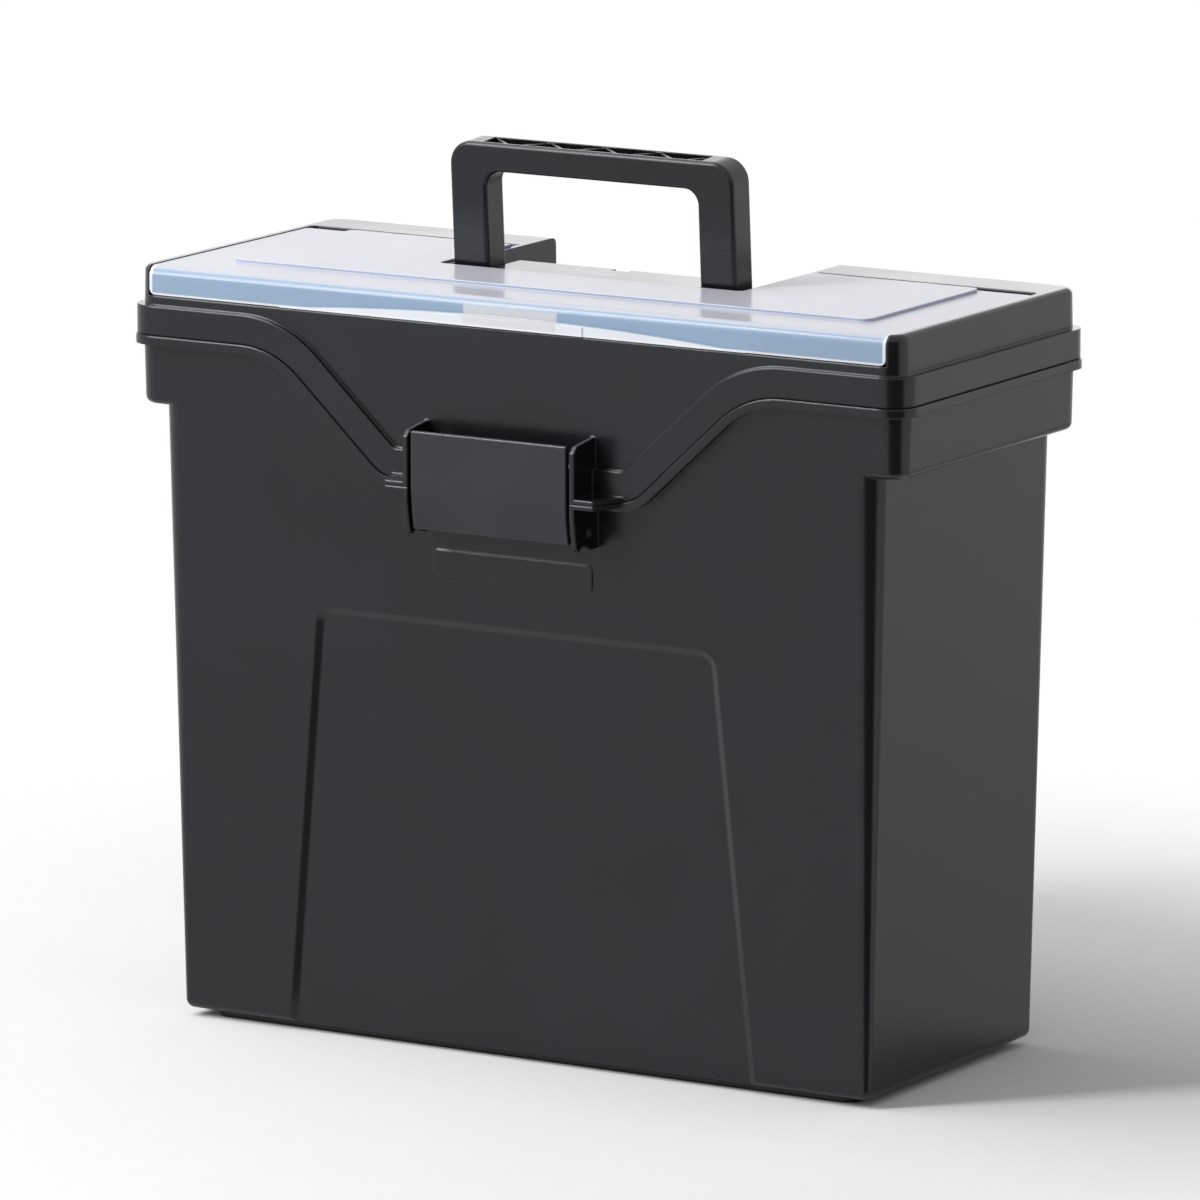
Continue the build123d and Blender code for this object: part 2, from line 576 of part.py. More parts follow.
with BuildPart() as organizer_cover:
    with Locations((0, cover_front_y, cover_flap_z)):
        Box(2 * cover_half, cover_back_y - cover_front_y, cover_top_z - cover_flap_z,
            align=(Align.CENTER, Align.MIN, Align.MIN))
    fillet(organizer_cover.edges().filter_by(Axis.X).group_by(Axis.Z)[-1].sort_by(Axis.Y)[0], COVER_FOLD_R)
    with Locations((0, cover_front_y, cover_low_z)):
        Box(2 * cover_half, COVER_WALL, cover_flap_z - cover_low_z,
            align=(Align.CENTER, Align.MIN, Align.MIN))
    fillet(organizer_cover.edges().filter_by(Axis.Y).group_by(Axis.Z)[0], COVER_CORNER_R)
    fillet(organizer_cover.edges().filter_by(Axis.Z).filter_by(
        lambda edge: abs(edge.center().Y - cover_back_y) < 0.1), COVER_BACK_R)

    # raised middle, hollow underneath
    with BuildSketch(Plane.XY.offset(cover_top_z - COVER_WALL / 2)):
        with Locations((0, (plateau_front_y + plateau_back_y) / 2)):
            RectangleRounded(2 * PLATEAU_HALF, plateau_back_y - plateau_front_y, PLATEAU_R)
    extrude(amount=PLATEAU_RISE + COVER_WALL / 2)
    fillet(organizer_cover.faces().sort_by(Axis.Z)[-1].edges(), PLATEAU_RISE / 3)
    add(cover_space.part, mode=Mode.SUBTRACT)

    # notch round the handle
    with BuildSketch(Plane.XY.offset(cover_under_z - 1)):
        with Locations((0, cover_notch_y)):
            Rectangle(2 * cover_notch_half, cover_back_y - cover_notch_y + COVER_NOTCH_R + 1,
                      align=(Align.CENTER, Align.MIN))
    extrude(amount=COVER_WALL + PLATEAU_RISE + 2, mode=Mode.SUBTRACT)
    fillet(organizer_cover.edges().filter_by(Axis.Z).filter_by(
        lambda edge: abs(edge.center().Y - cover_notch_y) < 0.1
        and abs(edge.center().X) < cover_notch_half + 1), COVER_NOTCH_R)

    # long curved lip and finger tab on the front flap
    with BuildSketch(front_plane(-cover_front_y + CURVE_PROUD)):
        with BuildLine():
            ThreePointArc((-CURVE_HALF, cover_low_z), (0, cover_low_z + CURVE_HEIGHT),
                          (CURVE_HALF, cover_low_z))
            Line((CURVE_HALF, cover_low_z), (-CURVE_HALF, cover_low_z))
        make_face()
    extrude(amount=-(CURVE_PROUD + COVER_WALL / 2))
    with BuildSketch(front_plane(-cover_front_y + PULL_PROUD)):
        with Locations((0, cover_low_z)):
            Rectangle(2 * PULL_HALF, PULL_HEIGHT, align=(Align.CENTER, Align.MIN))
    extrude(amount=-(PULL_PROUD + COVER_WALL / 2))

    # knuckles on the pins
    for x in (-cover_hinge_x, cover_hinge_x):
        with BuildSketch(Plane.YZ.offset(x)):
            with Locations((cover_hinge_y, cover_hinge_z)):
                Circle(COVER_KNUCKLE_R)
            with Locations((cover_hinge_y, cover_top_z)):
                Rectangle(cover_hinge_y - cover_back_y + 1, COVER_WALL, align=(Align.MAX, Align.MAX))
        extrude(amount=COVER_HINGE_MID_HALF, both=True)
        with Locations(Plane.YZ.offset(x)):
            with Locations((cover_hinge_y, cover_hinge_z)):
                Cylinder(COVER_PIN_R + PIN_RUN, 2 * COVER_HINGE_HALF, mode=Mode.SUBTRACT)
organizer_cover.part.label = "organizer_cover"

# ---- Handle -------------------------------------------------------------------------------
# Local frame on the pivot line: X across, Y up the legs, Z out of the front face
lean = radians(HANDLE_LEAN)
handle_frame = Plane(origin=(0, PIVOT_Y, pivot_z), x_dir=(1, 0, 0), z_dir=(0, -cos(lean), -sin(lean)))
grip_top = Plane(origin=handle_frame.origin + handle_frame.y_dir * HANDLE_RISE, x_dir=(1, 0, 0),
                 z_dir=handle_frame.y_dir)
grip_low = HANDLE_RISE - GRIP_HEIGHT
well_depth = HANDLE_FRONT + HANDLE_BACK - 2 * GRIP_RIM
rib_pitch = 2 * grip_well_half / (2 * GRIP_RIB_PAIRS)

with BuildPart() as handle:
    with BuildSketch(handle_frame.offset(-HANDLE_BACK)) as bow:
        with Locations((0, -HANDLE_BACK)):
            Rectangle(2 * HANDLE_HALF, HANDLE_RISE + HANDLE_BACK, align=(Align.CENTER, Align.MIN))
        fillet(bow.vertices().group_by(Axis.Y)[-1], HANDLE_OUTER_R)
        with Locations((0, -HANDLE_BACK)):
            Rectangle(2 * leg_inner, grip_low + HANDLE_BACK, align=(Align.CENTER, Align.MIN),
                      mode=Mode.SUBTRACT)
        fillet(bow.vertices().filter_by(lambda corner: abs(corner.Y - grip_low) < 0.01), HANDLE_INNER_R)
    extrude(amount=HANDLE_FRONT + HANDLE_BACK)
    long_edges = handle.edges().filter_by(
        lambda edge: abs(abs(handle_frame.to_local_coords(edge.center()).Z - (HANDLE_FRONT - HANDLE_BACK) / 2)
                         - (HANDLE_FRONT + HANDLE_BACK) / 2) < 0.01)
    foot_edges = long_edges.filter_by(
        lambda edge: handle_frame.to_local_coords(edge.center()).Y < 0.01 - HANDLE_BACK)
    fillet(foot_edges, HANDLE_END_ROUND)
    face_edges = handle.edges().filter_by(
        lambda edge: abs(abs(handle_frame.to_local_coords(edge.center()).Z - (HANDLE_FRONT - HANDLE_BACK) / 2)
                         - (HANDLE_FRONT + HANDLE_BACK) / 2) < 0.01
        and handle_frame.to_local_coords(edge.center()).Y > HANDLE_BACK)
    fillet(face_edges, HANDLE_EDGE_ROUND)

    # open channel in the top of the grip, with zig-zag ribs from wall to wall
    with BuildSketch(grip_top):
        with Locations((0, (HANDLE_BACK - HANDLE_FRONT) / 2)):
            Rectangle(2 * grip_well_half, well_depth)
    extrude(amount=-GRIP_WELL_DEEP, mode=Mode.SUBTRACT)
    with BuildSketch(grip_top.offset(-GRIP_WELL_DEEP)):
        for rib in range(2 * GRIP_RIB_PAIRS):
            start = rib * rib_pitch - grip_well_half
            slope = (1 if rib % 2 else -1) * (well_depth / 2 + 0.2)
            middle = (HANDLE_BACK - HANDLE_FRONT) / 2
            with BuildLine():
                Polyline((start, middle - slope), (start + GRIP_RIB, middle - slope),
                         (start + rib_pitch + GRIP_RIB / 2, middle + slope),
                         (start + rib_pitch - GRIP_RIB / 2, middle + slope),
                         close=True)
            make_face()
    extrude(amount=GRIP_WELL_DEEP - 0.6)

    # bores for the pivot pins
    with Locations(Plane.YZ):
        with Locations((PIVOT_Y, pivot_z)):
            Cylinder(PIVOT_PIN_R + PIN_RUN, 2 * HANDLE_HALF + 2, mode=Mode.SUBTRACT)
handle.part.label = "handle"

# ---- Latch --------------------------------------------------------------------------------
with BuildPart() as latch:
    # plate, upright above the bend and curving in below it
    with BuildSketch(Plane.YZ):
        with BuildLine():
            face_line = Line((latch_front_y, latch_top_z), (latch_front_y, latch_bend_z))
            face_bend = JernArc(face_line @ 1, face_line % 1, bend_r, bend_turn)
            back_line = Line((latch_back_y, latch_top_z), (latch_back_y, latch_bend_z))
            back_bend = JernArc(back_line @ 1, back_line % 1, bend_r - LATCH_WALL, bend_turn)
            Line(face_line @ 0, back_line @ 0)
            Line(face_bend @ 1, back_bend @ 1)
        make_face()
    extrude(amount=LATCH_HALF, both=True)

    # ears that turn on the pin
    for x in (-latch_ear_x, -LATCH_INNER_EAR_X, LATCH_INNER_EAR_X, latch_ear_x):
        with BuildSketch(Plane.YZ.offset(x)):
            with Locations((latch_pin_y, latch_pin_z)):
                Circle(LATCH_EAR_R)
            with BuildLine():
                Polyline((latch_pin_y, latch_pin_z + LATCH_EAR_R), (latch_back_y - 0.6, latch_pin_z + 8),
                         (latch_low_y + LATCH_WALL / 2, latch_low_z + 0.5),
                         (latch_pin_y, latch_pin_z - LATCH_EAR_R),
                         close=True)
            make_face()
        extrude(amount=LATCH_EAR / 2, both=True)

    # bead over the lid's ledge
    with BuildSketch(Plane.YZ):
        with BuildLine():
            Polyline((latch_back_y - 0.6, bead_z), (bead_y, bead_z), (bead_y, bead_z + 0.8),
                     (latch_back_y - 0.6, bead_z + 3.2), close=True)
        make_face()
    extrude(amount=CATCH_HALF, both=True)

    with Locations(Plane.YZ):
        with Locations((latch_pin_y, latch_pin_z)):
            Cylinder(LATCH_PIN_R + PIN_RUN, 2 * LATCH_HALF + 2, mode=Mode.SUBTRACT)
latch.part.label = "latch"

# ---- Pins ---------------------------------------------------------------------------------
with BuildPart() as latch_pin:
    with Locations(Plane.YZ):
        with Locations((latch_pin_y, latch_pin_z)):
            Cylinder(LATCH_PIN_R, 2 * (cheek_x + CHEEK_WALL))
latch_pin.part.label = "latch_pin"

with BuildPart() as lid_hinge_pin_left:
    with Locations(Plane.YZ.offset(-hinge_x)):
        with Locations((hinge_y, hinge_z)):
            Cylinder(HINGE_PIN_R, 2 * HINGE_HALF)
lid_hinge_pin_left.part.label = "lid_hinge_pin_left"

with BuildPart() as lid_hinge_pin_right:
    with Locations(Plane.YZ.offset(hinge_x)):
        with Locations((hinge_y, hinge_z)):
            Cylinder(HINGE_PIN_R, 2 * HINGE_HALF)
lid_hinge_pin_right.part.label = "lid_hinge_pin_right"

with BuildPart() as cover_hinge_pin_left:
    with Locations(Plane.YZ.offset(-cover_hinge_x)):
        with Locations((cover_hinge_y, cover_hinge_z)):
            Cylinder(COVER_PIN_R, 2 * COVER_HINGE_HALF)
cover_hinge_pin_left.part.label = "cover_hinge_pin_left"

with BuildPart() as cover_hinge_pin_right:
    with Locations(Plane.YZ.offset(cover_hinge_x)):
        with Locations((cover_hinge_y, cover_hinge_z)):
            Cylinder(COVER_PIN_R, 2 * COVER_HINGE_HALF)
cover_hinge_pin_right.part.label = "cover_hinge_pin_right"

with BuildPart() as handle_pivot_pin_left:
    with Locations(Plane.YZ.offset(-(pivot_pin_inner + pivot_pin_outer) / 2)):
        with Locations((PIVOT_Y, pivot_z)):
            Cylinder(PIVOT_PIN_R, pivot_pin_outer - pivot_pin_inner)
handle_pivot_pin_left.part.label = "handle_pivot_pin_left"

with BuildPart() as handle_pivot_pin_right:
    with Locations(Plane.YZ.offset((pivot_pin_inner + pivot_pin_outer) / 2)):
        with Locations((PIVOT_Y, pivot_z)):
            Cylinder(PIVOT_PIN_R, pivot_pin_outer - pivot_pin_inner)
handle_pivot_pin_right.part.label = "handle_pivot_pin_right"

export_step(file_bin.part, "parts/bin.step")
export_step(lid.part, "parts/lid.step")
export_step(organizer_cover.part, "parts/organizer_cover.step")
export_step(handle.part, "parts/handle.step")
export_step(latch.part, "parts/latch.step")
export_step(latch_pin.part, "parts/latch_pin.step")
export_step(lid_hinge_pin_left.part, "parts/lid_hinge_pin_left.step")
export_step(lid_hinge_pin_right.part, "parts/lid_hinge_pin_right.step")
export_step(cover_hinge_pin_left.part, "parts/cover_hinge_pin_left.step")
export_step(cover_hinge_pin_right.part, "parts/cover_hinge_pin_right.step")
export_step(handle_pivot_pin_left.part, "parts/handle_pivot_pin_left.step")
export_step(handle_pivot_pin_right.part, "parts/handle_pivot_pin_right.step")
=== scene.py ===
from math import pi

import bpy
import numpy as np
from bpy.props import FloatProperty, FloatVectorProperty, PointerProperty
from bpy.types import Operator, Panel, PropertyGroup
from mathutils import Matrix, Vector


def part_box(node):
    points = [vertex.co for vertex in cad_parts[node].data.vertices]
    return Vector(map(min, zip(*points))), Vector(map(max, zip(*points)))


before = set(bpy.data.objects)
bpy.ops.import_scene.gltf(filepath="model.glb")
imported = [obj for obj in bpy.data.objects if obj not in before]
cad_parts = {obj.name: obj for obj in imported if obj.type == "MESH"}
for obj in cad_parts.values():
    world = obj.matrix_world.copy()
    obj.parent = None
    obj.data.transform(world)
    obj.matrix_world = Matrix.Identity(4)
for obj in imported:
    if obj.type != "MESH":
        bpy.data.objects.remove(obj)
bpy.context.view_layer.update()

bl_info = {
    "name": "Portable File Box",
    "version": (1, 0, 0),
    "blender": (4, 5, 0),
    "location": "View3D > Sidebar > File Box",
    "description": "Finishes the portable file box and sets it in a pale studio",
    "category": "Object",
}

MM = 0.001


# ---- Settings -----------------------------------------------------------------------------
def length(label, words, default):
    """A length in millimetres that a user can change."""
    return FloatProperty(name=label, description=words, default=default, min=0.0, precision=2)


def colour(label, words, default):
    """A linear colour that a user can change."""
    return FloatVectorProperty(name=label, description=words, default=default, size=3,
                               subtype="COLOR", min=0.0, max=1.0)


class FileBoxSizes(PropertyGroup):
    """Sizes of the surface detail, in millimetres."""
    grain: length("Grain", "Width of one grain of the moulded texture, in mm", 0.45)
    edge: length("Edge rounding", "Radius that moulded edges look rounded to, in mm", 1.1)
    small_edge: length("Handle edge rounding", "Radius that the handle's edges look rounded to, in mm", 0.6)
    cover_edge: length("Cover edge", "Width of the pale edges of the cover, in mm", 1.0)
    lip_half: length("Lip half width", "Half the width of the cover's curved lip, in mm", 102.0)
    lip_height: length("Lip height", "Height of the cover's curved lip, in mm", 4.6)
    window_half: length("Window half width", "Half the width of the clear window, in mm", 20.0)


class FileBoxColours(PropertyGroup):
    """Linear colours of the mouldings, the pins and the studio."""
    shell: colour("Shell", "Black of the bin, the lid and the handle", (0.0056, 0.0059, 0.0075))
    latch: colour("Latch", "Black of the latch", (0.0160, 0.0165, 0.0190))
    # flap and top: the cover's own milky colour, with the top painted lighter and the flap darker for the
    # light that falls on the top
    flap: colour("Cover flap", "Blue of the milky cover in front of the black lid", (0.31, 0.42, 0.575))
    top: colour("Cover top", "Milky white of the cover over the tray", (0.71, 0.72, 0.79))
    # painted shade: the darker blue of the step's face
    step_shade: colour("Cover step", "Blue of the step round the cover's raised middle", (0.45, 0.53, 0.70))
    # painted light: the glow on the cover's edges and the highlight on its curved lip
    pale: colour("Cover edges", "Near white of the cover's thick edges", (0.90, 0.93, 0.97))
    steel: colour("Pins", "Colour of the steel pins", (0.50, 0.50, 0.51))
    floor: colour("Floor", "Colour of the studio floor", (0.93, 0.93, 0.93))


def sizes():
    return bpy.context.scene.file_box_sizes


def colours():
    return bpy.context.scene.file_box_colours


# ---- Finishes -----------------------------------------------------------------------------
class Finish:
    """A node material: its Principled shader and short ways to make and join further nodes."""

    def __init__(self, name):
        self.material = bpy.data.materials.new(name)
        self.material.use_nodes = True
        self.tree = self.material.node_tree
        self.shader = self.tree.nodes["Principled BSDF"]
        self.place = self.node("ShaderNodeTexCoord").outputs["Object"]

    def node(self, kind, links=(), **settings):
        """A node; settings are its properties or its inputs, links are (input, socket) pairs."""
        made = self.tree.nodes.new(kind)
        for key, value in settings.items():
            if key in made.bl_rna.properties:
                setattr(made, key, value)
            else:
                made.inputs[key].default_value = value
        for key, socket in links:
            self.tree.links.new(socket, made.inputs[key])
        return made

    def noise(self, scale, detail=2.0, stretch=None):
        """Noise on the piece's own coordinates, as a value round 0.5."""
        place = self.place
        if stretch:
            place = self.node("ShaderNodeMapping", [("Vector", place)], Scale=stretch).outputs["Vector"]
        return self.node("ShaderNodeTexNoise", [("Vector", place)], Scale=scale, Detail=detail).outputs["Fac"]

    def spread(self, value, low, high, start=0.3, end=0.7, smooth=False):
        """The value from start to end, laid out from low to high."""
        made = self.node("ShaderNodeMapRange", [("Value", value)],
                         interpolation_type="SMOOTHSTEP" if smooth else "LINEAR")
        for key, number in (("From Min", start), ("From Max", end), ("To Min", low), ("To Max", high)):
            made.inputs[key].default_value = number
        return made.outputs["Result"]

    def maths(self, operation, first, second):
        """One step of arithmetic on two values, each a socket or a number."""
        made = self.node("ShaderNodeMath", operation=operation)
        for socket, value in zip(made.inputs, (first, second)):
            if isinstance(value, (int, float)):
                socket.default_value = value
            else:
                self.tree.links.new(value, socket)
        return made.outputs["Value"]

    def blend(self, share, first, second):
        """Colour that goes from the first to the second with the share."""
        made = self.node("ShaderNodeMix", data_type="RGBA")
        for socket, value in zip((made.inputs["Factor"], made.inputs[6], made.inputs[7]),
                                 (share, first, second)):
            if isinstance(value, bpy.types.NodeSocket):
                self.tree.links.new(value, socket)
            else:
                socket.default_value = (*value, 1.0)
        return made.outputs[2]

    def tint(self, base, low, high):
        """The base colour, drifting between low and high times itself over tens of millimetres."""
        made = self.node("ShaderNodeVectorMath", [("Scale", self.spread(self.noise(22.0, 3.0), low, high))],
                         operation="SCALE")
        if isinstance(base, bpy.types.NodeSocket):
            self.tree.links.new(base, made.inputs[0])
        else:
            made.inputs[0].default_value = base
        return made.outputs["Vector"]

    def relief(self, height, strength, distance, radius):
        """Bump of the height over normals that are rounded at the edges; also the rounded normal."""
        soft = self.node("ShaderNodeBevel", samples=6, Radius=radius).outputs["Normal"]
        bump = self.node("ShaderNodeBump", [("Height", height), ("Normal", soft)],
                         Strength=strength, Distance=distance)
        self.join(bump.outputs["Normal"], "Normal")
        return soft

    def join(self, socket, key):
        self.tree.links.new(socket, self.shader.inputs[key])


def moulded_plastic(name, tint, roughness, grain_depth, edge):
    """Moulded plastic: fine grain, slow drifts of gloss and shade, faint rubs and softened edges."""
    finish = Finish(name)
    finish.join(finish.tint(tint, 0.84, 1.16), "Base Color")
    gloss = finish.spread(finish.noise(16.0, 3.0), roughness - 0.03, roughness + 0.03)
    rubs = finish.spread(finish.noise(1.0, 4.0, (60.0, 420.0, 420.0)), 0.0, 0.05, 0.62, 0.78)
    finish.join(finish.maths("SUBTRACT", gloss, rubs), "Roughness")
    finish.relief(finish.noise(1.0 / (sizes().grain * MM)), grain_depth, 0.06 * MM, edge * MM)
    finish.shader.inputs["IOR"].default_value = 1.5
    finish.shader.inputs["Specular IOR Level"].default_value = 0.43
    finish.shader.inputs["Specular Tint"].default_value = (0.93, 0.95, 1.0, 1.0)
    return finish.material


def milky_plastic(name, low, high):
    """Milky see-through plastic: white over the tray, blue where the black lid is close behind; the lighter
    top and the darker front are partly painted light, for the light that falls on the top.

    The pale places are painted light where the plastic is thick: a painted glow along the rounded edges, the
    ends of the flap and its lower edge, and a painted highlight on the curved lip below z = floor + height *
    (1 - (x / half) ^ 2).
    """
    finish = Finish(name)
    s, c = sizes(), colours()
    apart = finish.node("ShaderNodeSeparateXYZ", [("Vector", finish.place)])
    x = finish.maths("ABSOLUTE", apart.outputs["X"], 0.0)
    y, z = apart.outputs["Y"], apart.outputs["Z"]
    fold_top = high.z - 1.2 * MM
    bend = 4.0 * MM

    # white over the tray from the fold backwards: partly the cover's own milky colour, partly a painted
    # lighter top for the light that falls on it and the white it mirrors
    over = finish.spread(z, 0.0, 1.0, fold_top - 1.6 * MM, fold_top - 0.15 * MM, True)
    shade = finish.blend(over, c.flap, c.top)
    # step round the raised middle: painted shade, darker blue on the step's face
    up = finish.spread(z, 0.0, 1.0, fold_top + 0.1 * MM, fold_top + 0.2 * MM)
    down = finish.spread(z, 1.0, 0.0, high.z - 0.25 * MM, high.z - 0.15 * MM)
    shade = finish.blend(finish.maths("MULTIPLY", up, down), shade, c.step_shade)
    # curved lip: painted highlight, near white where its flare catches the light
    share = finish.maths("DIVIDE", x, s.lip_half * MM)
    arch = finish.maths("MULTIPLY", finish.maths("SUBTRACT", 1.0, finish.maths("MULTIPLY", share, share)),
                        s.lip_height * MM)
    above = finish.maths("SUBTRACT", finish.maths("SUBTRACT", z, low.z), arch)
    shade = finish.blend(finish.spread(above, 0.85, 0.0, -0.4 * MM, 0.2 * MM, True), shade, c.pale)
    # clear window above the finger tab
    inside = finish.spread(x, 1.0, 0.0, s.window_half * MM, (s.window_half + 0.8) * MM, True)
    below = finish.spread(z, 1.0, 0.0, high.z - 1.2 * MM - bend, high.z - 1.2 * MM - 0.5 * bend, True)
    shade = finish.blend(finish.maths("MULTIPLY", finish.maths("MULTIPLY", inside, below), 0.8), shade,
                         (0.72, 0.72, 0.74))
    # lower edge and ends of the flap: painted glow, near white where light carried in the plastic shows at
    # the thick edges
    rim_glow = finish.spread(z, 0.9, 0.0, low.z + 0.5 * MM, low.z + 1.1 * MM, True)
    shade = finish.blend(rim_glow, shade, c.pale)
    ends = finish.spread(x, 0.0, 0.9, high.x - s.cover_edge * MM - 0.5 * MM, high.x - s.cover_edge * MM, True)
    shade = finish.blend(ends, shade, c.pale)

    finish.join(finish.tint(shade, 0.97, 1.03), "Base Color")
    finish.join(finish.spread(finish.noise(14.0, 3.0), 0.16, 0.24), "Roughness")
    finish.relief(finish.noise(60.0), 0.05, 0.05 * MM, 0.2 * MM)
    finish.shader.inputs["IOR"].default_value = 1.5
    finish.shader.inputs["Transmission Weight"].default_value = 0.12
    finish.shader.inputs["Specular IOR Level"].default_value = 0.32
    return finish.material


def drawn_steel(name, tint):
    """Drawn steel wire: fine lines along the pin, with a slow drift of gloss."""
    finish = Finish(name)
    lines = finish.noise(1.0, 3.0, (90.0, 3200.0, 3200.0))
    finish.join(finish.tint(tint, 0.92, 1.08), "Base Color")
    finish.join(finish.spread(lines, 0.24, 0.40), "Roughness")
    finish.relief(lines, 0.12, 0.02 * MM, 0.2 * MM)
    finish.shader.inputs["Metallic"].default_value = 1.0
    return finish.material


def put_finish(finish, *pieces):
    """One finish on the whole of each piece."""
    for piece in pieces:
        if piece.material_slots:
            for entry in piece.material_slots:
                entry.material = finish
        else:
            piece.data.materials.append(finish)


def parts(*names):
    return [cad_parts[name] for name in names]


# ---- Pieces -------------------------------------------------------------------------------
class FILEBOX_OT_shell(Operator):
    """Finish the bin and the lid"""
    bl_idname = "filebox.shell"
    bl_label = "Bin and Lid"

    def execute(self, context):
        put_finish(moulded_plastic("black_shell_finish", colours().shell, 0.25, 0.12, sizes().edge),
                   *parts("bin", "lid"))
        return {"FINISHED"}


class FILEBOX_OT_handle(Operator):
    """Finish the carry handle and its pivot pins"""
    bl_idname = "filebox.handle"
    bl_label = "Handle"

    def execute(self, context):
        put_finish(moulded_plastic("black_handle_finish", colours().shell, 0.27, 0.14, sizes().small_edge),
                   *parts("handle", "handle_pivot_pin_left", "handle_pivot_pin_right"))
        return {"FINISHED"}


class FILEBOX_OT_latch(Operator):
    """Finish the latch"""
    bl_idname = "filebox.latch"
    bl_label = "Latch"

    def execute(self, context):
        put_finish(moulded_plastic("black_latch_finish", colours().latch, 0.24, 0.06, sizes().edge),
                   *parts("latch"))
        return {"FINISHED"}


class FILEBOX_OT_pins(Operator):
    """Finish the steel pins of the latch, the lid and the cover"""
    bl_idname = "filebox.pins"
    bl_label = "Pins"

    def execute(self, context):
        put_finish(drawn_steel("steel_pin_finish", colours().steel),
                   *parts("latch_pin", "lid_hinge_pin_left", "lid_hinge_pin_right",
                          "cover_hinge_pin_left", "cover_hinge_pin_right"))
        return {"FINISHED"}


class FILEBOX_OT_cover(Operator):
    """Finish the organizer cover"""
    bl_idname = "filebox.cover"
    bl_label = "Organizer Cover"

    def execute(self, context):
        low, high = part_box("organizer_cover")
        put_finish(milky_plastic("milky_cover_finish", Vector(low), Vector(high)), *parts("organizer_cover"))
        return {"FINISHED"}


# ---- Studio -------------------------------------------------------------------------------
MIDDLE = Vector((0.0, -0.004, 0.168))
CARD_DISTANCE = 3.0                 # metres, as all of the studio's lengths
CARD_WIDTH = 4.2
CARD_HEIGHTS = (-2.5, 0.7)
CARD_CHANGE = (-0.80, -0.10)        # heights between which a card's share of black changes
CAMERA_PLACE = (2.0241, -3.3525, 0.9126)
CAMERA_LENS = 315.0                 # mm, on a sensor 36 mm wide


def softbox(name, way, distance, width, height, radiance, *lit_pieces):
    """A flat lamp that faces the middle of the box, at a distance along a way from it; it lights
    everything, or only the pieces that are named."""
    lamp = bpy.data.lights.new(name, "AREA")
    lamp.shape, lamp.size, lamp.size_y = "RECTANGLE", width, height
    lamp.energy = radiance * pi * width * height
    stand = bpy.data.objects.new(name, lamp)
    stand.location = MIDDLE + distance * Vector(way).normalized()
    stand.rotation_euler = (MIDDLE - stand.location).to_track_quat("-Z", "Y").to_euler()
    stand.visible_camera = False
    bpy.context.scene.collection.objects.link(stand)
    if lit_pieces:
        lit = bpy.data.collections.new(name + "_pieces")
        for piece in parts(*lit_pieces):
            lit.objects.link(piece)
        stand.light_linking.receiver_collection = lit


def reflected_card(name, degrees, low_share, high_share):
    """An upright black card that only reflections see, and that goes from its low share of black
    to its high share between two heights: point = distance * (sin, -cos) of the turn, plus a step
    along the card and a height."""
    turn = np.radians(degrees)
    along, up = np.meshgrid(np.linspace(-CARD_WIDTH / 2, CARD_WIDTH / 2, 5),
                            np.linspace(*CARD_HEIGHTS, 5), indexing="ij")
    points = np.stack([CARD_DISTANCE * np.sin(turn) + along * np.cos(turn),
                       -CARD_DISTANCE * np.cos(turn) + along * np.sin(turn), up], -1).reshape(-1, 3)
    index = np.arange(25).reshape(5, 5)
    quads = np.stack([index[:-1, :-1], index[1:, :-1], index[1:, 1:], index[:-1, 1:]], -1).reshape(-1, 4)
    mesh = bpy.data.meshes.new(name)
    mesh.from_pydata(points, [], quads.tolist())
    card = bpy.data.objects.new(name, mesh)
    bpy.context.scene.collection.objects.link(card)
    card.visible_camera = card.visible_diffuse = card.visible_transmission = card.visible_shadow = False
    finish = Finish(name + "_finish")
    finish.join(finish.tint((0.01, 0.01, 0.01), 0.9, 1.1), "Base Color")
    finish.shader.inputs["Roughness"].default_value = 1.0
    finish.shader.inputs["Specular IOR Level"].default_value = 0.0
    apart = finish.node("ShaderNodeSeparateXYZ", [("Vector", finish.place)])
    finish.join(finish.spread(apart.outputs["Z"], low_share, high_share, *CARD_CHANGE), "Alpha")
    put_finish(finish.material, card)


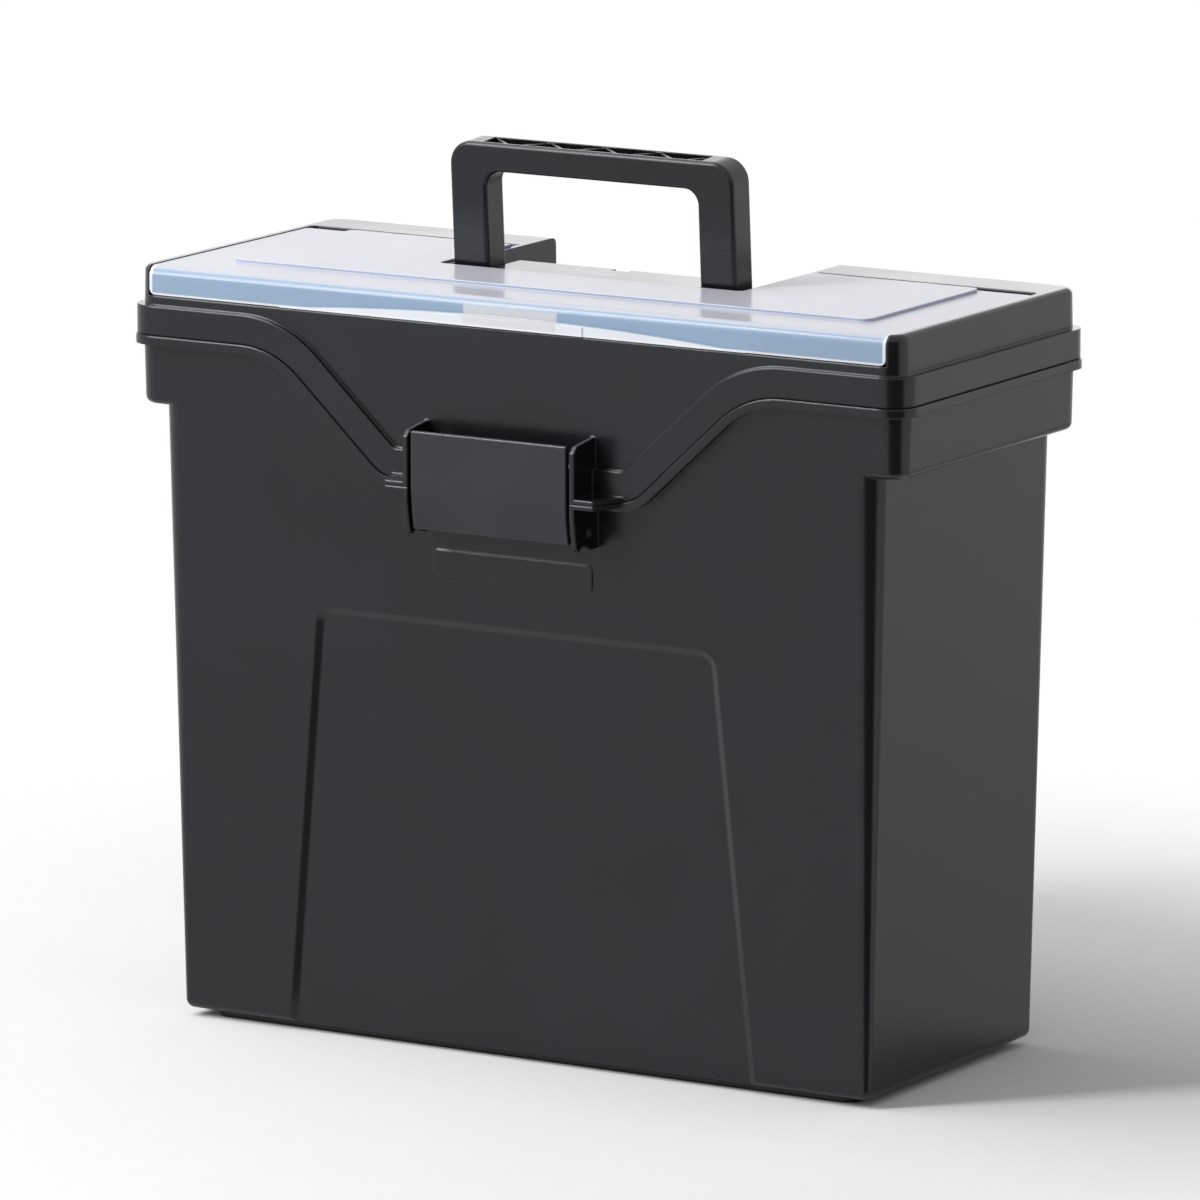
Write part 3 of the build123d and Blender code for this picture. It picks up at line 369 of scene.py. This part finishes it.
def studio_floor():
    """A round floor, flat at height 0: point = radius * (cos, sin) of the turn.

    Its look fades out between 0.26 and 0.55 m from the middle, where the white surroundings take
    over, and in reflections it fades out sooner.
    """
    turns, rings = np.meshgrid(np.linspace(0, 2 * pi, 96, endpoint=False),
                               np.array([0.3, 0.8, 1.6, 3.0]), indexing="ij")
    points = np.stack([rings * np.cos(turns), rings * np.sin(turns), 0 * rings], -1).reshape(-1, 3)
    index = np.arange(points.shape[0]).reshape(turns.shape)
    following = np.roll(index, -1, axis=0)
    quads = np.stack([index[:, :-1], index[:, 1:], following[:, 1:], following[:, :-1]], -1).reshape(-1, 4)
    mesh = bpy.data.meshes.new("studio_floor")
    mesh.from_pydata(points, [], quads.tolist() + [index[:, 0].tolist()])
    floor = bpy.data.objects.new("studio_floor", mesh)
    bpy.context.scene.collection.objects.link(floor)

    finish = Finish("studio_floor_finish")
    finish.join(finish.tint(colours().floor, 0.995, 1.005), "Base Color")
    finish.shader.inputs["Roughness"].default_value = 0.9
    finish.shader.inputs["Specular IOR Level"].default_value = 0.0
    away = finish.node("ShaderNodeVectorMath", [(0, finish.place)], operation="LENGTH").outputs["Value"]
    squeezed = finish.node("ShaderNodeMapping", [("Vector", finish.place)], Scale=(0.45, 1.0, 1.0))
    near = finish.node("ShaderNodeVectorMath", [(0, squeezed.outputs["Vector"])],
                       operation="LENGTH").outputs["Value"]
    clear = finish.node("ShaderNodeBsdfTransparent")
    path = finish.node("ShaderNodeLightPath").outputs
    seen = finish.maths("MULTIPLY", finish.spread(away, 0.0, 1.0, 0.26, 0.55, True), path["Is Camera Ray"])
    mirrored = finish.maths("MULTIPLY", finish.spread(near, 0.0, 1.0, 0.085, 0.12, True),
                            path["Is Glossy Ray"])
    fade = finish.maths("ADD", seen, mirrored)
    mix = finish.node("ShaderNodeMixShader", [("Fac", fade), (1, finish.shader.outputs["BSDF"]),
                                              (2, clear.outputs["BSDF"])])
    out = finish.tree.nodes["Material Output"]
    finish.tree.links.new(mix.outputs["Shader"], out.inputs["Surface"])
    put_finish(finish.material, floor)


def studio_world(strength):
    """White surroundings: full white where seen or mirrored, softer as a light."""
    world = bpy.data.worlds.new("studio_world")
    world.use_nodes = True
    tree = world.node_tree
    path = tree.nodes.new("ShaderNodeLightPath")
    seen = None
    for ray in ("Is Camera Ray", "Is Glossy Ray", "Is Transmission Ray"):
        if seen is None:
            seen = path.outputs[ray]
            continue
        add = tree.nodes.new("ShaderNodeMath")
        add.operation, add.use_clamp = "ADD", True
        tree.links.new(seen, add.inputs[0])
        tree.links.new(path.outputs[ray], add.inputs[1])
        seen = add.outputs["Value"]
    level = tree.nodes.new("ShaderNodeMapRange")
    level.inputs["To Min"].default_value = strength
    tree.links.new(seen, level.inputs["Value"])
    back = tree.nodes["Background"]
    back.inputs["Color"].default_value = (1.0, 1.0, 1.0, 1.0)
    tree.links.new(level.outputs["Result"], back.inputs["Strength"])
    bpy.context.scene.world = world


class FILEBOX_OT_stage(Operator):
    """Set up the floor, the surroundings, the lamps and the camera"""
    bl_idname = "filebox.stage"
    bl_label = "Studio"

    def execute(self, context):
        studio_floor()
        studio_world(0.40)
        softbox("lamp_above", (-0.508, -0.187, 0.841), 1.9, 1.3, 1.3, 2.8)
        softbox("lamp_front_left", (-0.508, -0.645, 0.570), 2.0, 0.35, 1.3, 16.0)
        softbox("lamp_edges", (-0.508, -0.645, 0.570), 1.9, 0.6, 1.2, 6.5, "bin", "lid", "latch")
        softbox("lamp_back", (-0.508, 0.841, 0.20), 2.2, 2.4, 1.0, 1.2, "bin", "lid", "handle", "latch")
        reflected_card("corner_card", 45.0, 0.92, 0.92)
        reflected_card("right_card", 149.0, 0.5, 0.0)
        reflected_card("front_card", -31.0, 0.15, 0.0)

        camera = bpy.data.cameras.new("camera")
        camera.lens, camera.sensor_width, camera.clip_end = CAMERA_LENS, 36.0, 50.0
        stand = bpy.data.objects.new("camera", camera)
        stand.location = CAMERA_PLACE
        stand.rotation_euler = (MIDDLE - stand.location).to_track_quat("-Z", "Y").to_euler()
        context.scene.collection.objects.link(stand)
        context.scene.camera = stand
        context.scene.view_settings.view_transform = "Standard"
        return {"FINISHED"}


class FILEBOX_PT_panel(Panel):
    """Sizes, colours and builders of the file box"""
    bl_idname = "FILEBOX_PT_panel"
    bl_label = "File Box"
    bl_space_type = "VIEW_3D"
    bl_region_type = "UI"
    bl_category = "File Box"

    def draw(self, context):
        for group in (context.scene.file_box_sizes, context.scene.file_box_colours):
            box = self.layout.box()
            for key in group.bl_rna.properties.keys():
                if key not in ("rna_type", "name"):
                    box.prop(group, key)
        for builder in BUILDERS:
            self.layout.operator(builder.bl_idname)


BUILDERS = (FILEBOX_OT_shell, FILEBOX_OT_handle, FILEBOX_OT_latch, FILEBOX_OT_pins, FILEBOX_OT_cover,
            FILEBOX_OT_stage)
CLASSES = (FileBoxSizes, FileBoxColours, *BUILDERS, FILEBOX_PT_panel)


def register():
    for entry in CLASSES:
        bpy.utils.register_class(entry)
    bpy.types.Scene.file_box_sizes = PointerProperty(type=FileBoxSizes)
    bpy.types.Scene.file_box_colours = PointerProperty(type=FileBoxColours)


def unregister():
    del bpy.types.Scene.file_box_sizes
    del bpy.types.Scene.file_box_colours
    for entry in reversed(CLASSES):
        bpy.utils.unregister_class(entry)


def main():
    register()
    bpy.ops.filebox.shell()
    bpy.ops.filebox.handle()
    bpy.ops.filebox.latch()
    bpy.ops.filebox.pins()
    bpy.ops.filebox.cover()
    bpy.ops.filebox.stage()


if __name__ == "__main__":
    main()
